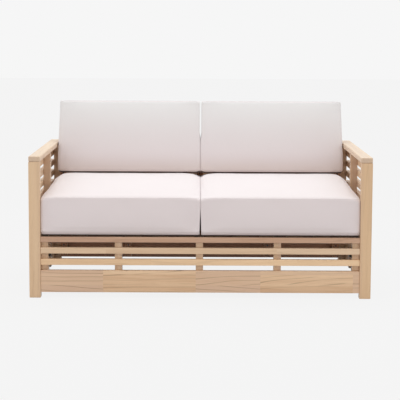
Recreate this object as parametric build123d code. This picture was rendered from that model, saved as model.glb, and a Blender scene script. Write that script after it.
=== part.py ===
from build123d import *
import os
from math import cos, radians, sin, tan

# A two-seat patio loveseat: a slatted wooden frame, two loose seat cushions and two loose back cushions.
# Millimetres. While the pieces are made, X runs across from the middle, to the right as seen from the front,
# Y runs rearwards from the front legs' front faces and Z runs up from the floor. Left and right are as seen
# from the front.

# Frame as a whole
frame_width = 1400.0
frame_depth = 720.0
arm_height = 584.0

# Legs, posts and caps
leg_width = 46.0
leg_depth = 28.0
post_depth = 40.0
cap_width = 48.5
cap_thickness = 23.0
cap_round = 5.0

# Boards, slats and stiles
board_thickness = 18.0
slat_height = 25.0
arm_slat_count = 9
front_slat_count = 2
front_rail_height = 22.0
stile_side = 30.0
edge_round = 2.0
apron_bottom = 23.0
apron_height = 91.0
back_apron_bottom = 29.0
back_stile_bottom = 38.0
panel_setback = 3.0
mid_stile_front = 320.0
mid_stile_bottom = 60.0
stile_place_shares = (-0.5, -0.263, -0.0025, 0.248, 0.5)

# Seat deck
seat_slat_count = 12
seat_slat_width = 66.0
seat_slat_thickness = 15.0
seat_slat_end_gap = 0.4
deck_margin = 6.0
ledger_height = 18.0
bearer_height = 50.0

# Tenons and dowels
tenon_thickness = 8.0
tenon_length = 12.0
tenon_shoulder = 5.0
bearer_tenon_shoulder = 13.0
tenon_gap = 0.1
tenon_end_gap = 0.5
dowel_radius = 4.0
dowel_in_cap = 14.0
dowel_in_post = 18.0

# Wood screws, with a square drive recess
screw_head_radius = 4.0
screw_head_height = 2.6
screw_radius = 2.1
screw_tip = 4.0
screw_recess_side = 2.4
screw_recess_depth = 1.6
stile_screw_length = 42.0
seat_screw_length = 30.0
hole_gap = 0.05
hole_end_gap = 0.5
apron_screw_inset = 22.0

# Frame bolts with washers and insert nuts
bolt_radius = 4.0
bolt_length = 48.0
bolt_head_radius = 6.5
bolt_head_height = 8.0
bolt_socket_radius = 3.0
bolt_socket_depth = 4.5
bolt_hole_radius = 4.5
washer_radius = 8.0
washer_thickness = 1.6
insert_radius = 6.0
insert_length = 18.0

# Crown of every cushion across its width: the place from the middle and the share of the crown there
crown_profile_shares = ((1.0, 0.0), (0.94, 0.55), (0.84, 0.87), (0.5, 0.99))

# Seat cushions. The station table gives, along the depth, the place, the share of the side edges' rise, the
# share of the crown and the share of the draw-in of the sides.
soft_gap = 0.3
seat_cushion_front = 8.0
seat_cushion_rear_gap = 3.5
seat_cushion_height = 152.0
seat_edge_rise = 24.0
seat_crown = 26.0
seat_draw_in = 3.0
seat_cushion_corner = 12.0
seat_cushion_end_round = 11.0
seat_cushion_side_bulge = 1.5
seat_station_shares = (
    (0.0, 0.45, 0.1, 0.0),
    (0.2, 0.75, 0.75, 0.7),
    (0.5, 1.0, 1.0, 1.0),
    (0.8, 0.78, 1.0, 0.7),
    (1.0, 0.35, 0.5, 0.0),
)

# Back cushions. They lean on the back rail. The station table gives, from bottom to top, the place along the
# slope, the share of the front crown, the share of the width's taper and the share of the lean of the section.
back_cushion_thickness = 94.0
back_cushion_height = 317.0
back_cushion_side_gap = 3.0
back_cushion_seam_gap = 7.0
back_cushion_taper = 6.0
back_cushion_lean_deg = 18.5
back_crown = 14.0
back_rear_crown = 4.0
back_cushion_corner = 13.0
back_cushion_bottom_round = 9.0
back_cushion_top_round = 8.0
back_cushion_side_bulge = 1.5
back_cushion_foot_drop = 13.2
back_station_shares = (
    (0.0, 0.3, 0.0, 0.32),
    (0.25, 0.9, 0.1, 0.75),
    (0.5, 1.0, 0.4, 1.0),
    (0.75, 0.85, 0.75, 1.0),
    (1.0, 0.25, 1.0, 1.0),
)

# One overrun for every cut
cut_overrun = 1.0

# Planes that several pieces share
half_width = frame_width / 2
leg_inner = half_width - leg_width
slat_inner = half_width - board_thickness
stile_inner = slat_inner - stile_side
cap_inner = half_width - cap_width
cap_bottom = arm_height - cap_thickness
apron_top = apron_bottom + apron_height
slat_gap = (cap_bottom - apron_top - arm_slat_count * slat_height) / (arm_slat_count + 1)
slat_pitch = slat_height + slat_gap
panel_back = panel_setback + board_thickness
panel_stile_back = panel_back + stile_side
back_board_front = frame_depth - board_thickness
back_stile_front = back_board_front - stile_side
post_front = frame_depth - post_depth


def slat_bottom(number):
    """Height of the underside of a slat, counted from the apron up."""
    return apron_top + slat_gap + number * slat_pitch


def slat_middle(number):
    return slat_bottom(number) + slat_height / 2


def gap_middle(number):
    """Height of the middle of the gap under a slat."""
    return slat_bottom(number) - slat_gap / 2


deck_top = slat_bottom(front_slat_count) + front_rail_height
deck_bottom = deck_top - seat_slat_thickness
front_stile_span = 2 * leg_inner - stile_side
back_stile_span = 2 * stile_inner - stile_side
front_stile_places = [share * front_stile_span for share in stile_place_shares]
back_stile_places = [share * back_stile_span for share in stile_place_shares]
mid_stile_middle = mid_stile_front + stile_side / 2
ledger_front = panel_stile_back
rear_ledger_front = back_stile_front - stile_side

pieces = {}
holes = {}


def add(node, solid):
    """Put a solid in a node and give back the key that its holes are filed under."""
    solids = pieces.setdefault(node, [])
    solids.append(solid)
    return node, len(solids) - 1


def drill(key, cutter):
    holes.setdefault(key, []).append(cutter)


def block(xs, ys, zs):
    """A plain box between pairs of planes, given in either order."""
    size = [max(pair) - min(pair) for pair in (xs, ys, zs)]
    middle = [sum(pair) / 2 for pair in (xs, ys, zs)]
    return Pos(*middle) * Box(*size)


def board(xs, ys, zs, ease=edge_round):
    body = block(xs, ys, zs)
    return fillet(body.edges(), ease)


def mirrored(side, low, high):
    """A span across X on the left (-1) or right (1)."""
    return side * low, side * high


def aim(x, y, z, direction):
    """The place of a fastener whose head lies at a point and whose shank runs along a direction."""
    return Plane(origin=(x, y, z), z_dir=direction).location


def rod(radius, start, end):
    return Pos(0, 0, (start + end) / 2) * Cylinder(radius, end - start)


# Fasteners, made once with the head at the origin and the shank along Z
def screw_blank(length, grow):
    """A countersunk screw without its recess, or the shape of its hole where it is grown by a clearance."""
    head = screw_head_radius + grow
    shank = screw_radius + grow
    outline = Polyline(
        (0, 0), (head, 0), (shank, screw_head_height), (shank, length - screw_tip), (0, length), close=True
    )
    return revolve(Plane.XZ * make_face(outline), Axis.Z)


def screw(length):
    recess = Pos(0, 0, screw_recess_depth / 2) * Box(screw_recess_side, screw_recess_side, screw_recess_depth)
    return screw_blank(length, 0) - recess


def screw_cutter(length):
    return screw_blank(length + hole_end_gap, hole_gap) + rod(screw_head_radius + hole_gap, -cut_overrun, 0)


stile_screw = screw(stile_screw_length)
seat_screw = screw(seat_screw_length)
stile_screw_cutter = screw_cutter(stile_screw_length)
seat_screw_cutter = screw_cutter(seat_screw_length)
dowel = rod(dowel_radius, -dowel_in_cap, dowel_in_post)
dowel_cutter = rod(dowel_radius + hole_gap, -dowel_in_cap - hole_end_gap, dowel_in_post + hole_end_gap)
washer = rod(washer_radius, -washer_thickness, 0) - rod(bolt_hole_radius, -washer_thickness, 0)
bolt = (
    rod(bolt_head_radius, -washer_thickness - bolt_head_height, -washer_thickness)
    + rod(bolt_radius, -washer_thickness, bolt_length - washer_thickness)
    - Pos(0, 0, -washer_thickness - bolt_head_height + bolt_socket_depth / 2)
    * extrude(RegularPolygon(bolt_socket_radius, 6), bolt_socket_depth / 2, both=True)
)
bolt_cutter = rod(bolt_hole_radius, -cut_overrun, bolt_length + hole_end_gap)
insert = rod(insert_radius, stile_side, stile_side + insert_length) - rod(
    bolt_radius + hole_gap, stile_side - cut_overrun, stile_side + insert_length + cut_overrun
)
insert_cutter = rod(insert_radius + hole_gap, stile_side - cut_overrun, stile_side + insert_length + hole_end_gap)


def drive_screw(x, y, z, direction, *keys):
    """A long wood screw through a stile or ledger into the board behind it."""
    place = aim(x, y, z, direction)
    add("stile_screws", stile_screw.moved(place))
    for key in keys:
        drill(key, stile_screw_cutter.moved(place))


def fit_bolt(x, y, z, direction, stile_key, post_key):
    """A frame bolt with its washer, through an end stile into an insert nut in the post beside it."""
    place = aim(x, y, z, direction)
    add("frame_bolts", bolt.moved(place))
    add("bolt_washers", washer.moved(place))
    add("insert_nuts", insert.moved(place))
    drill(stile_key, bolt_cutter.moved(place))
    drill(post_key, insert_cutter.moved(place))
    drill(post_key, bolt_cutter.moved(place))


def fit_dowel(x, y, cap_key, post_key):
    """A dowel between a cap and the top of what carries it."""
    place = aim(x, y, cap_bottom, (0, 0, -1))
    add("cap_dowels", dowel.moved(place))
    drill(cap_key, dowel_cutter.moved(place))
    drill(post_key, dowel_cutter.moved(place))


def apron_screws(bottom, top):
    """Heights of the two screws through an apron into each stile."""
    return [bottom + apron_screw_inset, top - apron_screw_inset]


# Arms
def tenoned_side_board(side, bottom, top):
    """A board of an arm, with a tenon on its front end that goes into the front leg."""
    body = board(mirrored(side, slat_inner, half_width), (leg_depth, frame_depth), (bottom, top))
    middle = half_width - board_thickness / 2
    low, high = middle - tenon_thickness / 2, middle + tenon_thickness / 2
    depths = (leg_depth - tenon_length, leg_depth + board_thickness)
    return body + block(mirrored(side, low, high), depths, (bottom + tenon_shoulder, top - tenon_shoulder))


def side_mortise(side, bottom, top):
    """The mortise in a front leg for the tenon of a side board."""
    middle = half_width - board_thickness / 2
    reach = tenon_thickness / 2 + tenon_gap
    depths = (leg_depth - tenon_length - tenon_end_gap, leg_depth + cut_overrun)
    heights = (bottom + tenon_shoulder - tenon_gap, top - tenon_shoulder + tenon_gap)
    return block(mirrored(side, middle - reach, middle + reach), depths, heights)


def make_arm(side, name):
    """One arm: leg, post, stiles, apron, slats and cap. Gives back the keys that the panels fasten to."""
    leg_x = side * (half_width - leg_width / 2)
    stile_x = side * (slat_inner + stile_inner) / 2
    stile_span = mirrored(side, stile_inner, slat_inner)
    leg_span = mirrored(side, leg_inner, half_width)
    corner_span = mirrored(side, leg_inner, slat_inner)
    corner_depths = (leg_depth, leg_depth + stile_side)
    mid_depths = (mid_stile_front, mid_stile_front + stile_side)

    leg = add(f"{name}_front_leg", board(leg_span, (0, leg_depth), (0, cap_bottom)))
    post = add(f"{name}_rear_post", board(stile_span, (post_front, frame_depth), (0, cap_bottom)))
    mid = add(f"{name}_mid_stile", board(stile_span, mid_depths, (mid_stile_bottom, cap_bottom)))
    corner = add(f"{name}_corner_block", board(corner_span, corner_depths, (apron_bottom, deck_top)))
    cap_body = board(mirrored(side, cap_inner, half_width), (0, frame_depth), (cap_bottom, arm_height), cap_round)
    cap = add(f"{name}_arm_cap", cap_body)

    rows = [(f"{name}_side_apron", apron_bottom, apron_top, apron_screws(apron_bottom, apron_top))]
    for number in range(arm_slat_count):
        bottom = slat_bottom(number)
        rows.append((f"{name}_side_slat_{number + 1}", bottom, bottom + slat_height, [slat_middle(number)]))
    outward = (side, 0, 0)
    corner_y = leg_depth + stile_side / 2
    post_y = frame_depth - board_thickness / 2
    for node, bottom, top, screw_heights in rows:
        key = add(node, tenoned_side_board(side, bottom, top))
        drill(leg, side_mortise(side, bottom, top))
        for z in screw_heights:
            drive_screw(side * stile_inner, post_y, z, outward, post, key)
            if z > mid_stile_bottom:
                drive_screw(side * stile_inner, mid_stile_middle, z, outward, mid, key)
            if z < deck_top:
                drive_screw(side * leg_inner, corner_y, z, outward, corner, key)

    for z in (gap_middle(0), gap_middle(front_slat_count)):
        drive_screw(side * (leg_inner + slat_inner) / 2, leg_depth + stile_side, z, (0, -1, 0), corner, leg)
    fit_dowel(leg_x, leg_depth / 2, cap, leg)
    fit_dowel(stile_x, mid_stile_middle, cap, mid)
    fit_dowel(stile_x, (post_front + frame_depth) / 2, cap, post)
    return {"corner": corner, "post": post, "mid": mid}


# Front panel
def make_front_panel(arms):
    """Top rail, slats and apron on five stiles, bolted between the arms."""
    width = (-leg_inner, leg_inner)
    depths = (panel_setback, panel_back)
    rail = add("front_rail", board(width, depths, (slat_bottom(front_slat_count), deck_top)))
    rows = [(rail, [(slat_bottom(front_slat_count) + deck_top) / 2])]
    for number in range(front_slat_count):
        heights = (slat_bottom(number), slat_bottom(number) + slat_height)
        rows.append((add(f"front_slat_{number + 1}", board(width, depths, heights)), [slat_middle(number)]))
    apron = add("front_apron", board(width, depths, (apron_bottom, apron_top)))
    rows.append((apron, apron_screws(apron_bottom, apron_top)))

    stiles = []
    for number, x in enumerate(front_stile_places):
        span = (x - stile_side / 2, x + stile_side / 2)
        body = board(span, (panel_back, panel_stile_back), (apron_bottom, deck_top))
        stiles.append(add(f"front_stile_{number + 1}", body))
        for key, heights in rows:
            for z in heights:
                drive_screw(x, panel_stile_back, z, (0, -1, 0), stiles[-1], key)

    bolt_y = (leg_depth + panel_stile_back) / 2
    for side, stile in ((-1, stiles[0]), (1, stiles[-1])):
        for z in ((apron_bottom + apron_top) / 2, gap_middle(1)):
            fit_bolt(side * (leg_inner - stile_side), bolt_y, z, (side, 0, 0), stile, arms[side]["corner"])
    return stiles


# Back panel
def make_back_panel(arms):
    """Cap, slats and apron on five stiles, bolted between the rear posts."""
    width = (-stile_inner, stile_inner)
    depths = (back_board_front, frame_depth)
    cap_depths = (frame_depth - cap_width, frame_depth)
    cap = add("back_cap", board((-cap_inner, cap_inner), cap_depths, (cap_bottom, arm_height), cap_round))
    apron = add("back_apron", board(width, depths, (back_apron_bottom, apron_top)))
    rows = [(apron, apron_screws(back_apron_bottom, apron_top))]
    for number in range(arm_slat_count):
        heights = (slat_bottom(number), slat_bottom(number) + slat_height)
        rows.append((add("back_slats", board(width, depths, heights)), [slat_middle(number)]))

    stiles = []
    for x in back_stile_places:
        span = (x - stile_side / 2, x + stile_side / 2)
        body = board(span, (back_stile_front, back_board_front), (back_stile_bottom, cap_bottom))
        stiles.append(add("back_stiles", body))
        fit_dowel(x, (back_stile_front + back_board_front) / 2, cap, stiles[-1])
        for key, heights in rows:
            for z in heights:
                drive_screw(x, back_stile_front, z, (0, 1, 0), stiles[-1], key)

    bolt_y = (post_front + back_board_front) / 2
    for side, stile in ((-1, stiles[0]), (1, stiles[-1])):
        for z in ((back_apron_bottom + apron_top) / 2, gap_middle(1), gap_middle(arm_slat_count - 2)):
            fit_bolt(side * (stile_inner - stile_side), bolt_y, z, (side, 0, 0), stile, arms[side]["post"])
    return stiles


# Seat deck
def make_deck(arms, front_stiles, back_stiles):
    """Slats from front to back on two ledgers and a bearer that is tenoned into the mid stiles."""
    half_deck = stile_inner - deck_margin
    ledger_heights = (deck_bottom - ledger_height, deck_bottom)
    ledger_z = sum(ledger_heights) / 2
    front_depths = (ledger_front, ledger_front + stile_side)
    rear_depths = (rear_ledger_front, back_stile_front)
    front = add("front_ledger", board((-half_deck, half_deck), front_depths, ledger_heights))
    rear = add("rear_ledger", board((-half_deck, half_deck), rear_depths, ledger_heights))
    for stile, x in zip(front_stiles, front_stile_places):
        drive_screw(x, front_depths[1], ledger_z, (0, -1, 0), front, stile)
    for stile, x in zip(back_stiles, back_stile_places):
        drive_screw(x, rear_depths[0], ledger_z, (0, 1, 0), rear, stile)

    heights = (deck_bottom - bearer_height, deck_bottom)
    tenon_heights = (heights[0] + bearer_tenon_shoulder, heights[1] - bearer_tenon_shoulder)
    mid_depths = (mid_stile_front, mid_stile_front + stile_side)
    body = board((-stile_inner, stile_inner), mid_depths, heights)
    tenon_reach = stile_inner + tenon_length
    tenon_depths = (mid_stile_middle - tenon_thickness / 2, mid_stile_middle + tenon_thickness / 2)
    bearer = add("centre_bearer", body + block((-tenon_reach, tenon_reach), tenon_depths, tenon_heights))
    for side, arm in arms.items():
        span = mirrored(side, stile_inner - cut_overrun, tenon_reach + tenon_end_gap)
        mortise_depths = (tenon_depths[0] - tenon_gap, tenon_depths[1] + tenon_gap)
        mortise_heights = (tenon_heights[0] - tenon_gap, tenon_heights[1] + tenon_gap)
        drill(arm["mid"], block(span, mortise_depths, mortise_heights))

    pitch = (2 * half_deck - seat_slat_width) / (seat_slat_count - 1)
    slat_depths = (ledger_front + seat_slat_end_gap, back_stile_front - seat_slat_end_gap)
    for number in range(seat_slat_count):
        left = -half_deck + number * pitch
        slat_span = (left, left + seat_slat_width)
        slat = add("seat_slats", board(slat_span, slat_depths, (deck_bottom, deck_top)))
        for support, depths in ((front, front_depths), (bearer, mid_depths), (rear, rear_depths)):
            place = aim(sum(slat_span) / 2, sum(depths) / 2, deck_top, (0, 0, -1))
            add("seat_slat_screws", seat_screw.moved(place))
            drill(slat, seat_screw_cutter.moved(place))
            drill(support, seat_screw_cutter.moved(place))


# Cushions
def cushion_section(plane, width, thickness, corner, top_crown, base_crown, side_bulge):
    """A closed section of a cushion: base, two sides and a crowned top, joined by round corners."""
    half = width / 2
    inner = half - corner
    upper = thickness - corner
    slant = corner * (1 - sin(radians(45)))
    middle = thickness / 2
    if base_crown:
        base = ThreePointArc((-inner, 0), (0, -base_crown), (inner, 0))
    else:
        base = Line((-inner, 0), (inner, 0))
    rising = [(place * inner, thickness + rise * top_crown) for place, rise in crown_profile_shares]
    falling = [(-x, y) for x, y in reversed(rising)]
    edges = [
        base,
        ThreePointArc((inner, 0), (half - slant, slant), (half, corner)),
        ThreePointArc((half, corner), (half + side_bulge, middle), (half, upper)),
        ThreePointArc((half, upper), (half - slant, thickness - slant), (inner, thickness)),
        Spline(*rising, (0, thickness + top_crown), *falling),
        ThreePointArc((-inner, thickness), (-half + slant, thickness - slant), (-half, upper)),
        ThreePointArc((-half, upper), (-half - side_bulge, middle), (-half, corner)),
        ThreePointArc((-half, corner), (-half + slant, slant), (-inner, 0)),
    ]
    return plane * make_face(edges)


def seat_cushion(middle_x, width):
    """A boxed cushion with a flat base, a crowned top and sides that draw in between its corners."""
    front = seat_cushion_front
    depth = back_stile_front - seat_cushion_rear_gap - front
    base = deck_top + soft_gap
    sections = []
    for place, rise, crown, draw in seat_station_shares:
        plane = Plane(origin=(middle_x, front + place * depth, base), x_dir=(1, 0, 0), z_dir=(0, -1, 0))
        sections.append(
            cushion_section(
                plane,
                width - 2 * draw * seat_draw_in,
                seat_cushion_height + rise * seat_edge_rise,
                seat_cushion_corner,
                crown * seat_crown,
                0,
                seat_cushion_side_bulge,
            )
        )
    body = loft(sections)
    ends = body.faces().sort_by(Axis.Y)
    return fillet([*ends[0].edges(), *ends[-1].edges()], seat_cushion_end_round)


def back_cushion(middle_x, width):
    """A boxed cushion that stands on the seat cushion and leans on the back rail."""
    lean = radians(back_cushion_lean_deg)
    seat_top = deck_top + soft_gap + seat_cushion_height + seat_edge_rise + seat_crown
    foot_z = seat_top - back_cushion_foot_drop
    rail_front = frame_depth - cap_width - soft_gap - back_rear_crown / cos(lean)
    foot_y = rail_front - (arm_height - foot_z) * tan(lean)
    sections = []
    for place, crown, taper, tilt in back_station_shares:
        along = place * back_cushion_height
        origin = (middle_x, foot_y + along * sin(lean), foot_z + along * cos(lean))
        tip = lean * tilt
        normal = (0, sin(tip), cos(tip))
        plane = Plane(origin=origin, x_dir=(-1, 0, 0), z_dir=normal)
        sections.append(
            cushion_section(
                plane,
                width - taper * back_cushion_taper,
                back_cushion_thickness / cos(lean - tip),
                back_cushion_corner,
                crown * back_crown,
                crown * back_rear_crown,
                back_cushion_side_bulge,
            )
        )
    body = loft(sections)
    ends = body.faces().sort_by(Axis.Z)
    body = fillet(ends[0].edges(), back_cushion_bottom_round)
    return fillet(body.faces().sort_by(Axis.Z)[-1].edges(), back_cushion_top_round)


def make_cushions():
    """The left cushions, and the right ones as their mirror images."""
    clear = cap_inner - soft_gap - seat_cushion_side_bulge
    seat_width = clear - soft_gap / 2 - seat_cushion_side_bulge
    seat_x = clear - seat_width / 2
    back_width = cap_inner - back_cushion_side_gap - back_cushion_seam_gap / 2
    back_x = (back_width + back_cushion_seam_gap) / 2
    lefts = {"seat": seat_cushion(-seat_x, seat_width), "back": back_cushion(-back_x, back_width)}
    for kind, cushion in lefts.items():
        add(f"left_{kind}_cushion", cushion)
        add(f"right_{kind}_cushion", mirror(cushion, about=Plane.YZ))


arm_keys = {side: make_arm(side, name) for side, name in ((-1, "left"), (1, "right"))}
front_stile_keys = make_front_panel(arm_keys)
back_stile_keys = make_back_panel(arm_keys)
make_deck(arm_keys, front_stile_keys, back_stile_keys)
make_cushions()

# The finished model stands on the floor with its origin under the middle of its outer box
solids = {}
for node, bodies in pieces.items():
    solids[node] = []
    for number, body in enumerate(bodies):
        cutters = holes.get((node, number), [])
        solids[node] += (body - cutters if cutters else body).solids()
box = Compound([body for bodies in solids.values() for body in bodies]).bounding_box()
centre = Pos(0, -(box.min.Y + box.max.Y) / 2, 0)

os.makedirs("parts", exist_ok=True)
for node, bodies in solids.items():
    moved = [body.moved(centre) for body in bodies]
    export_step(moved[0] if len(moved) == 1 else Compound(moved), f"parts/{node}.step")
print("nodes", len(solids), "solids", sum(len(bodies) for bodies in solids.values()))
print("outer box", box.size, "rearward centre", (box.min.Y + box.max.Y) / 2)
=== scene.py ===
import math

import bpy
from bpy.props import FloatProperty, FloatVectorProperty, PointerProperty
from bpy.types import Operator, Panel, PropertyGroup
from mathutils import Matrix, Vector
from mathutils.bvhtree import BVHTree


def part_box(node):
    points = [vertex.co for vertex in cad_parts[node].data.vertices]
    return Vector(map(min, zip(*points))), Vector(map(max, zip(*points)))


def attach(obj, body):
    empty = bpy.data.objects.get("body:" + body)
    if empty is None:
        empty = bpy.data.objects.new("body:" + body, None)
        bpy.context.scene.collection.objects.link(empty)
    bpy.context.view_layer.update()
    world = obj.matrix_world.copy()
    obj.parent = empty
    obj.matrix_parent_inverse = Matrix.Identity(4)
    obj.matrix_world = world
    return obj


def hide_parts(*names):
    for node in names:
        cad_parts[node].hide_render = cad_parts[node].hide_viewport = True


bl_info = {
    "name": "Slatted Patio Loveseat",
    "version": (1, 0, 0),
    "blender": (4, 5, 0),
    "location": "3D View > Sidebar > Loveseat",
    "description": "Wood finishes, sewn cushions and a plain studio for a slatted two-seat patio sofa",
    "category": "Object",
}

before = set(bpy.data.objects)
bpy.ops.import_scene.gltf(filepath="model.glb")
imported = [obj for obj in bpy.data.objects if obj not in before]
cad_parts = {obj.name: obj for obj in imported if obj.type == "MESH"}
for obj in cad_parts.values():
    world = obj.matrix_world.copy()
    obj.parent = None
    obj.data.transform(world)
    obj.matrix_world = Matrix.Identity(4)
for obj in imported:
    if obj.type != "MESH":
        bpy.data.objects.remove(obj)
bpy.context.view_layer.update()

# Which way the boards run: the axis along the grain, the axis across the wide face and the axis through it
ALONG_X = (0, 2, 1)
ALONG_X_FLAT = (0, 1, 2)
ALONG_Y = (1, 2, 0)
ALONG_Y_FLAT = (1, 0, 2)
ALONG_Z = (2, 0, 1)

# The photograph's camera, from a fit of the frame's edges
CAMERA_PLACE = (-0.01156, -4.95037, 1.10507)
CAMERA_PITCH = 0.1
CAMERA_YAW = -0.0018
CAMERA_ROLL = 0.0046
CAMERA_LENS = 102.52
CAMERA_SHIFT = (0.000125, -0.1445)
SENSOR_WIDTH = 36.0

# Shares of the wood's colour on the boards that are darker or paler than the rest; several are painted shade
PLAIN = (1.0, 1.0, 1.0)
# Painted shade: the front rail darker, as under the seat cushions' overhang
RAIL_PAINTED_SHADE = (0.76, 0.66, 0.66)
FRONT_SLAT_TINT = (1.12, 1.08, 1.0)
# Painted shade: the rear posts and mid stiles inside the arms darker
UPRIGHT_PAINTED_SHADE = (0.75, 0.71, 0.70)
# Painted shade: the deck under the cushions darker, the ledgers, bearer and corner blocks most
DECK_PAINTED_SHADE = (0.28, 0.165, 0.115)
DECK_SLAT_PAINTED_SHADE = (0.70, 0.61, 0.54)
# Painted shade: the forward faces of the back apron and back stiles, under the seat, made darker
INSIDE_PAINTED_SHADE = (0.62, 0.43, 0.37)
LEG_TINTS = {"left": (0.955, 0.92, 0.87), "right": (0.94, 0.88, 0.79)}
# Painted light: the caps take a cooler tint that stands in for the cool light on their tops
CAP_PAINTED_LIGHT = (0.955, 0.99, 1.07)
APRON_TINT = (1.07, 1.035, 0.99)

# Other colours of the wood and steel
LINE_SHADES = (0.6, 0.6, 0.6)
KNOT_COLOUR = (0.20, 0.115, 0.060)
# Painted shade: a dark colour on the tops where the cushions rest, for the deep shade under them
UNDER_CUSHION_SHADE = (0.10, 0.065, 0.045)
STEEL_LIGHT = (0.085, 0.078, 0.072)
STEEL_DARK = (0.050, 0.046, 0.042)

# Noise of the wood: how often it repeats in a metre, along the grain, across it and through it
STREAK_SCALES = (4.2, 62.0, 62.0)
BAND_SCALES = (1.3, 46.0, 46.0)
WARP_SCALES = (1.9, 14.0, 14.0)
PORE_SCALES = (42.0, 1500.0, 1500.0)
KNOT_SCALES = (6.0, 15.0, 15.0)

# Where each mark of the wood, cover and steel begins and is full, how strongly it colours them, and the share of
# cells with no knot
RAMPS = {
    "streak": (0.32, 0.72), "band": (0.34, 0.66), "ring": (0.1, 1.0), "line": (0.84, 1.0),
    "line band": (0.3, 0.62), "pore": (0.56, 0.72), "grey": (0.45, 1.0), "knot": (0.11, 0.03),
    "halo": (0.4, 0.08), "end": (0.72, 0.95), "slub": (0.4, 0.62), "soil": (0.35, 0.75), "spot": (0.35, 0.7),
}
STRENGTHS = {
    "streak": 0.55, "band": 0.45, "patch": 0.55, "ring": 0.26, "pore": 0.16, "halo": 0.4, "knot": 0.7,
    "slub": 0.25, "soil": 0.06,
}
KNOTLESS = 0.66

# The wood's own roughness, what its marks and sawn ends add to it, and how far its rings stand up
ROUGHNESS = {"wood": 0.36, "streak": 0.16, "pore": 0.1, "end": 0.2}
RING_RELIEF = 0.25

# Growth rings: the pith's depth behind the face, its spread across it, its slant and how far the rings wander
PITH_DEPTH = 0.045
PITH_SPREAD = 0.04
PITH_SLANT = 0.1
RING_WANDER = 0.045

# Staves: the size that leaves a board in one piece, how far rows are staggered, the noise's step from one stave
# to the next, and how far each seed moves a board through the noise
ONE_PIECE = (2.0, 0.2)
STAVE_STAGGER = 7.0
STAVE_STEP = 31.0
SEED_SHIFTS = (0.37, 0.011, 0.007)

# The band of painted shade on the tops under the cushions: its near edge's width, and where it ends, from the
# seat cushions' front
UNDER_CUSHION_SHADE_EDGE = 0.004
UNDER_CUSHION_SHADE_END = (0.09, 0.16)

# How faces look that take a mark, as parts of their normals
UP_FACES = (0.7, 0.95)
INNER_FACES = (-0.7, -0.95)
UPRIGHT_FACES = (0.5, 0.8)
UNDER_FACES = (-0.3, -0.6)

# The cover: shares of its own colour, heights on the back cushions and above the seat cushions' foot, and the
# weave's slubs and how sharply it turns from one plane to the next
# Painted shade: the back cushions' cover is a darker copy of the seat cushions'
BACK_PAINTED_SHADE = 0.935
THREAD_SHADES = (0.90, 0.90, 0.90)
SLUB_SHADES = (0.93, 0.93, 0.93)
SOIL_SHADES = (0.86, 0.84, 0.83)
# Painted shade: darker and warmer on the back cushions low down, near the crease
CREASE_PAINTED_SHADES = (0.80, 0.75, 0.70)
# Painted light: the back cushions' upright faces paler and cooler higher up
UPPER_PAINTED_LIGHT = (1.01, 1.10, 1.09)
# Heights below which the painted shade near the crease lies, and over which the painted light above rises
CREASE_SHADE_HEIGHTS = (0.435, 0.555)
UPPER_LIGHT_HEIGHTS = (0.48, 0.82)
# Heights of the painted shade at the foot of the back and seat cushions
BACK_FOOT_SHADE_HEIGHTS = (0.458, 0.472)
SEAT_FOOT_SHADE_HEIGHTS = (0.0065, 0.0085)
# Painted shade: a near-black colour at the cushions' foot, in the crease and under the front edge
FOOT_PAINTED_SHADE = (0.075, 0.045, 0.036)
SLUB_SCALES = ((34.0, 560.0, 560.0), (560.0, 34.0, 34.0))
SLUB_OFFSET = 3.0
PLANE_SHARPNESS = 4.0

# The left seat cushion's front, foot and middle, and the lean of the back cushions
SEAT_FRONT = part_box("left_seat_cushion")[0].y
SEAT_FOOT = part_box("left_seat_cushion")[0].z
SEAT_MIDDLE = 0.3257
LEAN = math.radians(18.5)

# Directions: across, rearwards and up, and for a back cushion up its slope and out of its front
ACROSS = Vector((1.0, 0.0, 0.0))
REARWARDS = Vector((0.0, 1.0, 0.0))
UP = Vector((0.0, 0.0, 1.0))
SLOPE = Vector((0.0, math.sin(LEAN), math.cos(LEAN)))
FORWARD = Vector((0.0, -math.cos(LEAN), math.sin(LEAN)))

# Filling of the cushions. Slants are parts of a face's normal over which a share rises
EDGE_SLANTS = (0.22, 0.5)
PANEL_SLANTS = (0.9, 0.99)
FLANK_SLANTS = (0.5, 0.9)
MEETING_SLANTS = (0.4, 0.9)
SQUARE_POWER = 1.5
EVENING_PASSES = 4
FILL_FRAMES = 20
CLOTH_SETTINGS = {
    "quality": 6, "mass": 0.3, "tension_stiffness": 30.0, "compression_stiffness": 30.0, "shear_stiffness": 12.0,
    "bending_stiffness": 2.0, "pin_stiffness": 1.0,
}

# Sewn edges: where the search for them starts inside the flanks, its corners, points and reach, the radius of
# the cushion's own edge, and a margin inside it
SEW_INSET = 0.03
SEW_CORNER = 0.012
SEW_POINTS = 180
SEW_REACH = 0.08
CORNER_STEPS = 8
EDGE_RADIUS = 0.010
EDGE_MARGIN = 0.002

# The stage
FLOOR_COLOUR = (0.58, 0.565, 0.56)
FLOOR_SIZE = 40.0
FLOOR_DROP = 0.0003
TOP_LAMP = {"place": (0.0, -0.5, 3.2), "target": (0.0, 0.0, 0.3), "size": (3.2, 2.6)}
REAR_LAMP = {"place": (0.0, 0.9, 3.2), "target": (0.0, 0.0, 0.4), "size": (3.2, 0.6)}


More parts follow.
